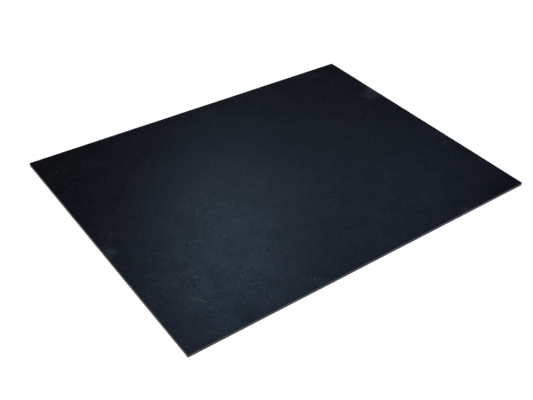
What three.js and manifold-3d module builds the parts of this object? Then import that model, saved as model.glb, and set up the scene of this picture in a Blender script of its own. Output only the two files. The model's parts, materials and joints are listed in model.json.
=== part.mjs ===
// Seedling heat mat: a flat low-voltage propagation mat, rubber outside, with a carbon film element inside.
//
// Millimetres, +Z up. The origin is the centre of the underside, X runs along the long side, and the
// supply inlet is flush with the +X edge, near the +Y corner. From the bench upwards the mat is:
//   bottom cover | core: insulation, heating film, heat spreader, glass scrim | top cover
// The core lies in a pocket between rubber edge strips. A wiring bed fills the pocket's +X end and
// holds the leads, the thermal cut-out and the lugs that join the leads to the film's bus bars.
import * as THREE from "three";
import { mergeVertices } from "three/addons/utils/BufferGeometryUtils.js";
import Module from "manifold-3d";

const wasm = await Module();
wasm.setup();

// ---- driving dimensions ----
const LENGTH = 600;
const WIDTH = 450;
const THICKNESS = 5;
const CORNER_RADIUS = 1.5;
const COVER_THICKNESS = 1.4;
const BORDER = 18; // width of the rubber edge strips
const FIT_GAP = 0.3; // between pieces that lie side by side
const BOND_LINE = 0.02; // glue between layers that lie on each other
const OVERRUN = 1; // how far a cut runs past the face that it opens

const POCKET_GAP = 2; // from the edge strips to the layers in the pocket
const BED_LENGTH = 24; // along X, at the +X end of the pocket

const FILM_THICKNESS = 0.12;
const INK_THICKNESS = 0.1;
const BUS_THICKNESS = 0.12;
const SPREADER_THICKNESS = 0.2;
const SCRIM_THICKNESS = 0.2;

const STRIP_COUNT = 16; // carbon strips, side by side along X
const STRIP_WIDTH = 24;
const FILM_MARGIN = 6; // bare film outside the strips and bus bars
const BUS_WIDTH = 12;
const TAB_LENGTH = 14; // bus bar and film that reach into the wiring bed
const FILM_TAB_MARGIN = 1; // film beside the bus bar on a tab
const SPREADER_INSET = 4;

const INLET_Y = 150; // centre of the inlet on the +X edge
const INLET_WIDTH = 22;
const INLET_DEPTH = 18;
const INLET_HEIGHT = 3.6;
const INLET_FLOOR = 0.8; // below the plug's cavity
const INLET_ROOF = 1; // above it
const CAVITY_WIDTH = 16;
const CAVITY_DEPTH = 11;
const KEY = { width: 1.6, height: 0.5, setback: 1 }; // rib on the cavity's floor: a plug fits one way up
const CONTACT_PITCH = 9;
const BLADE = { width: 2.2, thickness: 0.6, setback: 2, tail: 2, fit: 0.1 };
const CONTACT_FERRULE = 6; // crimped on a lead, behind the blade
const FERRULE_OFFSET = 1; // from the inlet's back wall to the ferrule

const LEAD_RADIUS = 0.7;
const CONDUCTOR_RADIUS = 0.4;
const FERRULE_RADIUS = 0.75;
const FERRULE_BORE = 0.45;
const BEND_RADIUS = 5;
const STRIPPED = 4; // bare conductor at each end of a lead
const LUG_BARREL = 10;
const LUG_NECK = { width: 1.2, overlap: 2 }; // joins the barrel to the plate
const LUG_PLATE = { length: 12, width: 10, thickness: 0.3 };
const RIVET = { bore: 0.6, shank: 1, head: 1.8, headThickness: 0.2, clearance: 0.15 };
const CUTOUT = { y: 46, length: 12, width: 5, thickness: 1.6, tail: 6 };
const SPLICE_LENGTH = 8;
const LEAD_INSET = 10; // from the wiring bed's inner face to the leads
const LEAD_Z = 2.4;
const WELL_FLOOR = 0.18; // foam left under a well in the wiring bed
const GROOVE = { lead: 2, splice: 2.4 };

// ---- places worked out from them ----
const EDGE_X = LENGTH / 2;
const EDGE_Y = WIDTH / 2;
const POCKET_X = EDGE_X - BORDER;
const POCKET_Y = EDGE_Y - BORDER;
const BED_X = POCKET_X - BED_LENGTH; // where the layered core ends and the wiring bed starts
const CORE_Z = [COVER_THICKNESS + BOND_LINE, THICKNESS - COVER_THICKNESS - BOND_LINE];
const MID_Z = THICKNESS / 2;

// The core's layers are set down from the top cover. The foam takes up the height that is left.
const SCRIM_Z = layerBelow(CORE_Z[1] + BOND_LINE, SCRIM_THICKNESS);
const SPREADER_Z = layerBelow(SCRIM_Z[0], SPREADER_THICKNESS);
const UPPER_FILM_Z = layerBelow(SPREADER_Z[0], FILM_THICKNESS);
const BUS_Z = layerBelow(UPPER_FILM_Z[0], BUS_THICKNESS);
const INK_Z = layerBelow(BUS_Z[0], INK_THICKNESS);
const LOWER_FILM_Z = layerBelow(INK_Z[0], FILM_THICKNESS);
const FOAM_Z = [CORE_Z[0], LOWER_FILM_Z[0] - BOND_LINE];

const FILM_X = [-POCKET_X + POCKET_GAP, BED_X - FIT_GAP];
const FILM_Y = POCKET_Y - POCKET_GAP;
const BUS_Y = FILM_Y - FILM_MARGIN - BUS_WIDTH / 2;
const TAB_X = BED_X + TAB_LENGTH;
const LEAD_X = BED_X + LEAD_INSET;
const LUG_Y = BUS_Y - BUS_WIDTH / 2 - FILM_TAB_MARGIN - FIT_GAP; // the end of a lug's barrel, beside the film

function layerBelow(z, thickness) {
  return [z - BOND_LINE - thickness, z - BOND_LINE];
}

// ---- materials ----
function finish(color, roughness, metalness = 0) {
  return new THREE.MeshStandardMaterial({ color, roughness, metalness });
}
const rubber = finish(0x14181f, 0.55);
const coreRubber = finish(0x1b1d21, 0.7);
const foam = finish(0x8f9499, 0.95);
const polyester = finish(0xcfd8d2, 0.3);
const carbonInk = finish(0x1d1d1f, 0.8);
const copper = finish(0xb87346, 0.35, 1);
const aluminium = finish(0xc9ccd0, 0.4, 1);
const glassScrim = finish(0xd9d7c8, 0.9);
const nylon = finish(0x17181a, 0.5);
const tinned = finish(0xb9bcc0, 0.35, 1);
const redLead = finish(0x9e2a22, 0.45);
const blackLead = finish(0x202124, 0.45);
const ceramic = finish(0xe6e0d2, 0.6);

// ---- geometry helpers ----
function slab([x0, x1], [y0, y1], [z0, z1]) {
  const box = new THREE.BoxGeometry(x1 - x0, y1 - y0, z1 - z0);
  return box.translate((x0 + x1) / 2, (y0 + y1) / 2, (z0 + z1) / 2);
}

function around(centre, size) {
  return [centre - size / 2, centre + size / 2];
}

// A rod or, with a bore, a tube, along Y and centred at the origin.
function rodAlongY(length, radius, bore = 0) {
  if (!bore) return new THREE.CylinderGeometry(radius, radius, length, 16);
  const end = length / 2;
  const wall = [[bore, -end], [radius, -end], [radius, end], [bore, end], [bore, -end]];
  return new THREE.LatheGeometry(wall.map(([r, y]) => new THREE.Vector2(r, y)), 16);
}

function solidOf(geometry) {
  const bare = geometry.clone();
  for (const name of Object.keys(bare.attributes)) {
    if (name !== "position") bare.deleteAttribute(name);
  }
  const merged = mergeVertices(bare, 1e-4);
  return new wasm.Manifold(new wasm.Mesh({
    numProp: 3,
    vertProperties: merged.attributes.position.array,
    triVerts: new Uint32Array(merged.index.array),
  }));
}

function geometryOf(solid) {
  const mesh = solid.getMesh();
  const geometry = new THREE.BufferGeometry();
  geometry.setAttribute("position", new THREE.BufferAttribute(mesh.vertProperties, 3));
  geometry.setIndex(new THREE.BufferAttribute(mesh.triVerts, 1));
  geometry.computeVertexNormals();
  return geometry;
}

function joined(...geometries) {
  return geometryOf(geometries.map(solidOf).reduce((all, next) => all.add(next)));
}

function cut(geometry, ...tools) {
  return geometryOf(tools.map(solidOf).reduce((left, tool) => left.subtract(tool), solidOf(geometry)));
}

// A plan outline with its outer corners rounded where `round` says so, in the order of `corners`.
function outline(corners, round) {
  const shape = new THREE.Shape();
  corners.forEach(([x, y], i) => {
    if (!round[i]) return i ? shape.lineTo(x, y) : shape.moveTo(x, y);
    const [before, after] = [corners.at(i - 1), corners[(i + 1) % corners.length]].map(([px, py]) => {
      const toward = new THREE.Vector2(px - x, py - y).setLength(CORNER_RADIUS);
      return [x + toward.x, y + toward.y];
    });
    if (i) shape.lineTo(...before);
    else shape.moveTo(...before);
    return shape.quadraticCurveTo(x, y, ...after);
  });
  return shape;
}

function plate(shape, [z0, z1]) {
  const options = { depth: z1 - z0, bevelEnabled: false, curveSegments: 4 };
  return new THREE.ExtrudeGeometry(shape, options).translate(0, 0, z0);
}

function rectangle([x0, x1], [y0, y1]) {
  return [[x0, y0], [x1, y0], [x1, y1], [x0, y1]];
}

const mat = new THREE.Group();

function addPart(name, geometry, material) {
  const part = new THREE.Mesh(geometry, material);
  part.name = name;
  mat.add(part);
  return part;
}

// ---- outside: two covers and the edge strips between them ----
const inletSpace = slab(
  [EDGE_X - INLET_DEPTH - FIT_GAP, EDGE_X + FIT_GAP],
  around(INLET_Y, INLET_WIDTH + 2 * FIT_GAP),
  around(MID_Z, INLET_HEIGHT + 2 * BOND_LINE),
);

function addCovers() {
  const sheet = outline(rectangle([-EDGE_X, EDGE_X], [-EDGE_Y, EDGE_Y]), [true, true, true, true]);
  addPart("bottom_cover", cut(plate(sheet, [0, COVER_THICKNESS]), inletSpace), rubber);
  addPart("top_cover", cut(plate(sheet, [THICKNESS - COVER_THICKNESS, THICKNESS]), inletSpace), rubber);
}

function addEdgeStrips() {
  const sideY = POCKET_Y - FIT_GAP;
  const inletY = around(INLET_Y, INLET_WIDTH + 2 * FIT_GAP);
  const strips = [
    ["edge_strip_front", [-EDGE_X, EDGE_X], [-EDGE_Y, -POCKET_Y], [true, true, false, false]],
    ["edge_strip_back", [-EDGE_X, EDGE_X], [POCKET_Y, EDGE_Y], [false, false, true, true]],
    ["edge_strip_left", [-EDGE_X, -POCKET_X], [-sideY, sideY], []],
    ["edge_strip_right_front", [POCKET_X, EDGE_X], [-sideY, inletY[0]], []],
    ["edge_strip_right_back", [POCKET_X, EDGE_X], [inletY[1], sideY], []],
  ];
  for (const [name, x, y, round] of strips) {
    addPart(name, plate(outline(rectangle(x, y), round), CORE_Z), coreRubber);
  }
}

// ---- core: foam, film element, spreader and scrim ----
// The lower film, each bus bar and each lug plate have a hole for the rivet that holds them together.
function rivetHole(side) {
  const hole = rodAlongY(THICKNESS, RIVET.shank + RIVET.clearance);
  return hole.rotateX(Math.PI / 2).translate(TAB_X - LUG_PLATE.length / 2, side * BUS_Y, MID_Z);
}

function addFilmElement() {
  const tabWidth = BUS_WIDTH + 2 * FILM_TAB_MARGIN;
  const tabs = [-1, 1].map((side) =>
    slab([FILM_X[1] - OVERRUN, TAB_X], around(side * BUS_Y, tabWidth), LOWER_FILM_Z));
  const lower = joined(slab(FILM_X, [-FILM_Y, FILM_Y], LOWER_FILM_Z), ...tabs);
  addPart("lower_film", cut(lower, rivetHole(-1), rivetHole(1)), polyester);
  addPart("upper_film", slab(FILM_X, [-FILM_Y, FILM_Y], UPPER_FILM_Z), polyester);

  const pitch = (FILM_X[1] - FILM_X[0] - 2 * FILM_MARGIN) / STRIP_COUNT;
  const inkY = BUS_Y + BUS_WIDTH / 2;
  for (let i = 0; i < STRIP_COUNT; i++) {
    const x = FILM_X[0] + FILM_MARGIN + pitch * (i + 0.5);
    const name = `carbon_strip_${String(i + 1).padStart(2, "0")}`;
    addPart(name, slab(around(x, STRIP_WIDTH), [-inkY, inkY], INK_Z), carbonInk);
  }

  for (const [name, side] of [["bus_bar_front", -1], ["bus_bar_back", 1]]) {
    const bar = slab([FILM_X[0] + FILM_MARGIN, TAB_X], around(side * BUS_Y, BUS_WIDTH), BUS_Z);
    addPart(name, cut(bar, rivetHole(side)), copper);
  }
}

function addCoreLayers() {
  const spreaderX = [FILM_X[0] + SPREADER_INSET, FILM_X[1] - SPREADER_INSET];
  const spreaderY = FILM_Y - SPREADER_INSET;
  addPart("insulation_foam", slab(FILM_X, [-FILM_Y, FILM_Y], FOAM_Z), foam);
  addPart("heat_spreader", slab(spreaderX, [-spreaderY, spreaderY], SPREADER_Z), aluminium);
  addPart("glass_scrim", slab(FILM_X, [-FILM_Y, FILM_Y], SCRIM_Z), glassScrim);
}

// ---- supply inlet: base, lid and two contact blades ----
const INLET_X = [EDGE_X - INLET_DEPTH, EDGE_X];
const INLET_Z = around(MID_Z, INLET_HEIGHT);
const CAVITY_X = [EDGE_X - CAVITY_DEPTH, EDGE_X];
const CAVITY_Z = [INLET_Z[0] + INLET_FLOOR, INLET_Z[1] - INLET_ROOF];
const CONTACT_Y = { supply: INLET_Y - CONTACT_PITCH / 2, return: INLET_Y + CONTACT_PITCH / 2 };
const BLADE_Z = around(LEAD_Z, BLADE.thickness);
const FERRULE_X = INLET_X[0] - FERRULE_OFFSET - CONTACT_FERRULE; // the ferrule's open end

// The base holds the cavity and a groove for each blade through its back wall. The lid closes both.
function addInlet() {
  const backWall = [INLET_X[0], CAVITY_X[0]];
  const openUp = [CAVITY_Z[0], THICKNESS];
  const cavity = slab([CAVITY_X[0], EDGE_X + OVERRUN], around(INLET_Y, CAVITY_WIDTH), openUp);
  const grooveX = [backWall[0] - OVERRUN, backWall[1] + OVERRUN];
  const grooves = Object.values(CONTACT_Y).map((y) =>
    slab(grooveX, around(y, BLADE.width + 2 * BLADE.fit), [BLADE_Z[0] - BLADE.fit, THICKNESS]));
  const key = slab(
    [backWall[1] - KEY.setback, EDGE_X - KEY.setback],
    around(INLET_Y, KEY.width),
    [CAVITY_Z[0] - KEY.height, CAVITY_Z[0] + KEY.height],
  );
  const block = slab(INLET_X, around(INLET_Y, INLET_WIDTH), [INLET_Z[0], CAVITY_Z[1]]);
  addPart("inlet_base", joined(cut(block, cavity, ...grooves), key), nylon);

  const lid = slab(INLET_X, around(INLET_Y, INLET_WIDTH), [CAVITY_Z[1] + BOND_LINE, INLET_Z[1]]);
  const ribX = [backWall[0] + BLADE.fit, backWall[1] - BLADE.fit];
  const ribs = Object.values(CONTACT_Y).map((y) =>
    slab(ribX, around(y, BLADE.width), [BLADE_Z[1] + BLADE.fit, CAVITY_Z[1] + 2 * BOND_LINE]));
  addPart("inlet_lid", joined(lid, ...ribs), nylon);
}

// A contact is a flat blade with a crimp ferrule behind it, which takes the lead's conductor.
function addContacts() {
  for (const [name, y] of Object.entries(CONTACT_Y)) {
    const blade = slab([INLET_X[0] - BLADE.tail, EDGE_X - BLADE.setback], around(y, BLADE.width), BLADE_Z);
    const ferrule = rodAlongY(CONTACT_FERRULE, FERRULE_RADIUS).rotateZ(Math.PI / 2);
    const bore = rodAlongY(STRIPPED + OVERRUN, FERRULE_BORE).rotateZ(Math.PI / 2);
    ferrule.translate(FERRULE_X + CONTACT_FERRULE / 2, y, LEAD_Z);
    bore.translate(FERRULE_X + (STRIPPED - OVERRUN) / 2, y, LEAD_Z);
    addPart(`contact_${name}`, cut(joined(blade, ferrule), bore), copper);
  }
}

// ---- leads, thermal cut-out, splices and lugs ----
function straightLead(y0, y1) {
  const insulation = rodAlongY(y1 - y0, LEAD_RADIUS);
  const conductor = rodAlongY(y1 - y0 + 2 * (STRIPPED - FIT_GAP), CONDUCTOR_RADIUS);
  return joined(insulation, conductor).translate(LEAD_X, (y0 + y1) / 2, LEAD_Z);
}

// Leaves its contact along -X, turns a quarter circle towards `side` and runs along Y to yEnd.
function bentLead(contactY, side, yEnd) {
  const turnX = LEAD_X + BEND_RADIUS;
  const start = FERRULE_X - FIT_GAP;
  const route = (x0, y1) => {
    const path = new THREE.CurvePath();
    const turnEnd = contactY + side * BEND_RADIUS;
    const at = (x, y) => new THREE.Vector3(x, y, LEAD_Z);
    path.add(new THREE.LineCurve3(at(x0, contactY), at(turnX, contactY)));
    path.add(new QuarterTurn(at(turnX, turnEnd), BEND_RADIUS, side));
    path.add(new THREE.LineCurve3(at(LEAD_X, turnEnd), at(LEAD_X, y1)));
    return path;
  };
  const sweep = (radius, x0, y1) => {
    const section = new THREE.Shape().absarc(0, 0, radius, 0, 2 * Math.PI);
    const path = route(x0, y1);
    const steps = Math.max(12, Math.round(path.getLength() / 2));
    return new THREE.ExtrudeGeometry(section, { extrudePath: path, steps, curveSegments: 10 });
  };
  const bare = STRIPPED - FIT_GAP;
  const bareEnd = () => rodAlongY(bare + OVERRUN, CONDUCTOR_RADIUS);
  const conductors = [
    bareEnd().rotateZ(Math.PI / 2).translate(start + (bare - OVERRUN) / 2, contactY, LEAD_Z),
    bareEnd().translate(LEAD_X, yEnd + (side * (bare - OVERRUN)) / 2, LEAD_Z),
  ];
  return joined(sweep(LEAD_RADIUS, start, yEnd), ...conductors);
}

// A quarter circle in the XY plane. It starts beside its centre along Y, heading for -X.
class QuarterTurn extends THREE.Curve {
  constructor(centre, radius, side) {
    super();
    Object.assign(this, { centre, radius, side });
  }

  getPoint(t, target = new THREE.Vector3()) {
    const angle = (t * Math.PI) / 2;
    const x = this.centre.x - this.radius * Math.sin(angle);
    return target.set(x, this.centre.y - this.side * this.radius * Math.cos(angle), this.centre.z);
  }
}

// Each splice sleeve is half on the cut-out's tail and half on the lead that meets it.
const SPLICE_Y = [-1, 1].map((end) => CUTOUT.y + end * (CUTOUT.length / 2 + CUTOUT.tail));

function addCutout() {
  const bodyZ = around(LEAD_Z, CUTOUT.thickness);
  const body = slab(around(LEAD_X, CUTOUT.width), around(CUTOUT.y, CUTOUT.length), bodyZ);
  const tails = rodAlongY(CUTOUT.length + 2 * CUTOUT.tail, CONDUCTOR_RADIUS);
  tails.translate(LEAD_X, CUTOUT.y, LEAD_Z);
  addPart("thermal_cutout", joined(body, tails), ceramic);
  ["splice_front", "splice_back"].forEach((name, i) => {
    const sleeve = rodAlongY(SPLICE_LENGTH, FERRULE_RADIUS, FERRULE_BORE);
    addPart(name, sleeve.translate(LEAD_X, SPLICE_Y[i], LEAD_Z), tinned);
  });
}

function addLeads() {
  const spliceEnds = [SPLICE_Y[0] - SPLICE_LENGTH / 2 - FIT_GAP, SPLICE_Y[1] + SPLICE_LENGTH / 2 + FIT_GAP];
  const lugEnd = LUG_Y - LUG_BARREL - FIT_GAP;
  addPart("lead_cutout_to_front_bus", straightLead(-lugEnd, spliceEnds[0]), redLead);
  addPart("lead_inlet_to_cutout", bentLead(CONTACT_Y.supply, -1, spliceEnds[1]), redLead);
  addPart("lead_inlet_to_back_bus", bentLead(CONTACT_Y.return, 1, lugEnd), blackLead);
}

// A lug's plate lies on its bus bar, with the barrel for the lead below the plate's inner corner.
const PLATE_Z = [BUS_Z[1] + BOND_LINE, BUS_Z[1] + BOND_LINE + LUG_PLATE.thickness];

function addLugs() {
  for (const [name, side] of [["front", -1], ["back", 1]]) {
    const top = slab([TAB_X - LUG_PLATE.length, TAB_X], around(side * BUS_Y, LUG_PLATE.width), PLATE_Z);
    const neckY = [side * (LUG_Y - LUG_NECK.overlap), side * BUS_Y].sort((a, b) => a - b);
    const neck = slab(around(LEAD_X, LUG_NECK.width), neckY, PLATE_Z);
    const barrel = rodAlongY(LUG_BARREL, FERRULE_RADIUS);
    barrel.translate(LEAD_X, side * (LUG_Y - LUG_BARREL / 2), LEAD_Z);
    const bore = rodAlongY(STRIPPED + OVERRUN, FERRULE_BORE);
    bore.translate(LEAD_X, side * (LUG_Y - LUG_BARREL + (STRIPPED - OVERRUN) / 2), LEAD_Z);
    addPart(`lug_${name}`, cut(joined(top, barrel, neck), bore, rivetHole(side)), tinned);

    addPart(`rivet_${name}`, rivet().translate(TAB_X - LUG_PLATE.length / 2, side * BUS_Y, 0), tinned);
  }
}

// A hollow rivet through a lug plate, its bus bar and the film below them.
function rivet() {
  const { bore, shank, head, headThickness } = RIVET;
  const low = LOWER_FILM_Z[0] - BOND_LINE;
  const high = PLATE_Z[1] + BOND_LINE;
  const profile = [
    [bore, low - headThickness], [head, low - headThickness], [head, low], [shank, low],
    [shank, high], [head, high], [head, high + headThickness], [bore, high + headThickness],
    [bore, low - headThickness],
  ];
  return new THREE.LatheGeometry(profile.map(([r, y]) => new THREE.Vector2(r, y)), 20).rotateX(Math.PI / 2);
}

// ---- wiring bed: a foam rubber block with open wells and grooves for all that lies in it ----
function addWiringBed() {
  const open = [CORE_Z[0] + WELL_FLOOR, CORE_Z[1] + OVERRUN];
  const groove = (yRange, width) => slab(around(LEAD_X, width), yRange, open);
  const spliceReach = CUTOUT.length + 2 * CUTOUT.tail + SPLICE_LENGTH + 2 * FIT_GAP;
  const wells = [
    groove([-LUG_Y - FIT_GAP, LUG_Y + FIT_GAP], GROOVE.lead),
    groove(around(CUTOUT.y, spliceReach), GROOVE.splice),
    groove(around(CUTOUT.y, CUTOUT.length + 2 * FIT_GAP), CUTOUT.width + 2 * FIT_GAP),
    slab([LEAD_X - GROOVE.lead / 2, POCKET_X + OVERRUN], around(INLET_Y, INLET_WIDTH), open),
    ...[-1, 1].map((side) => tabWell(side * BUS_Y, open[1])),
  ];
  const block = slab([BED_X, POCKET_X - FIT_GAP], [-POCKET_Y + FIT_GAP, POCKET_Y - FIT_GAP], CORE_Z);
  addPart("wiring_bed", cut(block, ...wells), foam);
}

// A shallow well for a bus bar's tab, deep enough for the rivet's lower head.
function tabWell(y, top) {
  const width = BUS_WIDTH + 2 * (FILM_TAB_MARGIN + FIT_GAP);
  const bottom = LOWER_FILM_Z[0] - RIVET.headThickness - 2 * BOND_LINE;
  return slab([BED_X - OVERRUN, TAB_X + FIT_GAP], around(y, width), [bottom, top]);
}

addCovers();
addEdgeStrips();
addCoreLayers();
addFilmElement();
addInlet();
addContacts();
addCutout();
addLeads();
addLugs();
addWiringBed();

export default mat;
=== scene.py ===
import json
import math

import bmesh
import bpy
import numpy as np
from mathutils import Matrix, Vector


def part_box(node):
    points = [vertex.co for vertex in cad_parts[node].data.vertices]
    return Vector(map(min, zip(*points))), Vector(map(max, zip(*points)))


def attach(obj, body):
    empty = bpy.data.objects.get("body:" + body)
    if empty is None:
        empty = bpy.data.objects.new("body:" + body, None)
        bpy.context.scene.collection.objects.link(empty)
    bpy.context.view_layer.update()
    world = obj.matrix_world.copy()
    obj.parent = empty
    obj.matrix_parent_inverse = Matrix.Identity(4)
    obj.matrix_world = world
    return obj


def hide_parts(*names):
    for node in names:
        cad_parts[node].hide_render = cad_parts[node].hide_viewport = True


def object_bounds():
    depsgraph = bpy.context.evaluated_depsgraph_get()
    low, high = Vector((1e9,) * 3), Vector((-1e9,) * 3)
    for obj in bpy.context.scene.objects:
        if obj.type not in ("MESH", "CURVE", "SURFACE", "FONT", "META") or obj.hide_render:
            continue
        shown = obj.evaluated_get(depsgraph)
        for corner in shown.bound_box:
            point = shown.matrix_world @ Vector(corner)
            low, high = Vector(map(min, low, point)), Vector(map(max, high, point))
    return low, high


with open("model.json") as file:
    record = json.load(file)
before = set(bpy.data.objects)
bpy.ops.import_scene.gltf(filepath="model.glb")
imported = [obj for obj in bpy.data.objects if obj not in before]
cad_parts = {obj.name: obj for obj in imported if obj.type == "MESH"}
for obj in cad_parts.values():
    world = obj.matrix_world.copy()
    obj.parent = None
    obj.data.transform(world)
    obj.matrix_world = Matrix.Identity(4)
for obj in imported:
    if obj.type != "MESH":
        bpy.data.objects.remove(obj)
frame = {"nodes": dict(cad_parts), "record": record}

MM = 0.001
CAD_LOW, CAD_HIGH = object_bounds()
HALF = np.array([CAD_HIGH.x, CAD_HIGH.y])
TOP = CAD_HIGH.z


# ---- camera, floor and light ----
CAMERA_AIM = Vector((-0.0541, -0.0442, TOP))
CAMERA_DISTANCE = 1.093
CAMERA_AZIMUTH, CAMERA_ELEVATION, CAMERA_ROLL = -38.61, 38.06, 3.30  # degrees
CAMERA_LENS, CAMERA_SENSOR = 51.04, 36  # millimetres

MIDDLE = Vector((0, 0, TOP))  # of the top face
COOL, COOLER, BLUE = (0.68, 0.86, 1.0), (0.45, 0.62, 1.0), (0.15, 0.42, 1.0)
SOFTBOX_DISTANCE = 1.5
# Softboxes: name, azimuth, elevation, size, watts, colour. The first four make the main view's sheen, and
# each of the others makes one in the top face for somebody who looks from across the mat.
SOFTBOXES = [
    ("sheen_high", 150, 47, 0.32, 1.1, COOL),
    ("sheen_middle", 130, 40, 0.45, 0.25, COOL),
    ("sheen_low", 115, 38, 0.40, 0.27, COOLER),
    ("sheen_near", 146, 54, 0.50, 0.40, BLUE),
    ("sheen_for_right", 232, 24, 0.80, 1.2, COOL),
    ("sheen_for_behind", 43, 18, 0.80, 1.3, COOL),
    ("sheen_for_low_front", 185, 8, 0.40, 0.08, COOL),
    ("sheen_for_low_right", 270, 8, 0.40, 0.10, COOL),
]
FRONT_FILL = {"ahead": 0.7, "height": 0.16, "size": 0.4, "watts": 4.0}  # in front of the near left corner
SKY_STRENGTH = 1.0
FLOOR_RADIUS, FLOOR_SIDES = 12, 96
FLOOR_GLOW = 0.70


def direction(azimuth, elevation):
    """The unit vector from the mat towards a camera or light. Azimuth 0 is in front, at -Y."""
    a, e = math.radians(azimuth), math.radians(elevation)
    return Vector((math.sin(a) * math.cos(e), -math.cos(a) * math.cos(e), math.sin(e)))


def facing(back):
    """The turn of a camera or light that looks along -back, with its top upwards."""
    return back.to_track_quat("Z", "Y").to_matrix().to_4x4()


def add_camera():
    data = bpy.data.cameras.new("camera")
    data.lens, data.sensor_width = CAMERA_LENS, CAMERA_SENSOR
    camera = bpy.data.objects.new("camera", data)
    back = direction(CAMERA_AZIMUTH, CAMERA_ELEVATION)
    roll = Matrix.Rotation(math.radians(CAMERA_ROLL), 4, "Z")
    camera.matrix_world = Matrix.Translation(CAMERA_AIM + CAMERA_DISTANCE * back) @ facing(back) @ roll
    bpy.context.scene.collection.objects.link(camera)
    bpy.context.scene.camera = camera


def add_light(name, kind, place, back, watts, **settings):
    data = bpy.data.lights.new(name, kind)
    data.energy = watts
    for setting, value in settings.items():
        setattr(data, setting, value)
    light = bpy.data.objects.new(name, data)
    light.matrix_world = Matrix.Translation(place) @ facing(back)
    light.visible_camera = False
    bpy.context.scene.collection.objects.link(light)
    return light


def add_studio():
    """A white floor under an even white sky, with softboxes for the sheen and one low fill in front."""
    scene = bpy.context.scene
    scene.view_settings.view_transform = "Standard"
    world = bpy.data.worlds.new("studio")
    world.use_nodes = True
    sky = world.node_tree.nodes["Background"].inputs
    sky["Color"].default_value = (1, 1, 1, 1)
    sky["Strength"].default_value = SKY_STRENGTH
    scene.world = world  # before the next line, whose update callback looks for it
    world.cycles_visibility.glossy = False

    bpy.ops.mesh.primitive_circle_add(vertices=FLOOR_SIDES, radius=FLOOR_RADIUS, fill_type="NGON")
    floor = bpy.context.object
    floor.name = "floor"
    floor.data.materials.append(floor_material())

    for name, azimuth, elevation, size, watts, colour in SOFTBOXES:
        back = direction(azimuth, elevation)
        place = MIDDLE + SOFTBOX_DISTANCE * back
        add_light(name, "AREA", place, back, watts, shape="DISK", size=size, color=colour)
    offset = Vector((0, -FRONT_FILL["ahead"], FRONT_FILL["height"]))
    place, back = CAD_LOW + offset, offset.normalized()
    fill = add_light("front_fill", "AREA", place, back, FRONT_FILL["watts"], size=FRONT_FILL["size"])
    fill.visible_glossy = False


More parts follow.
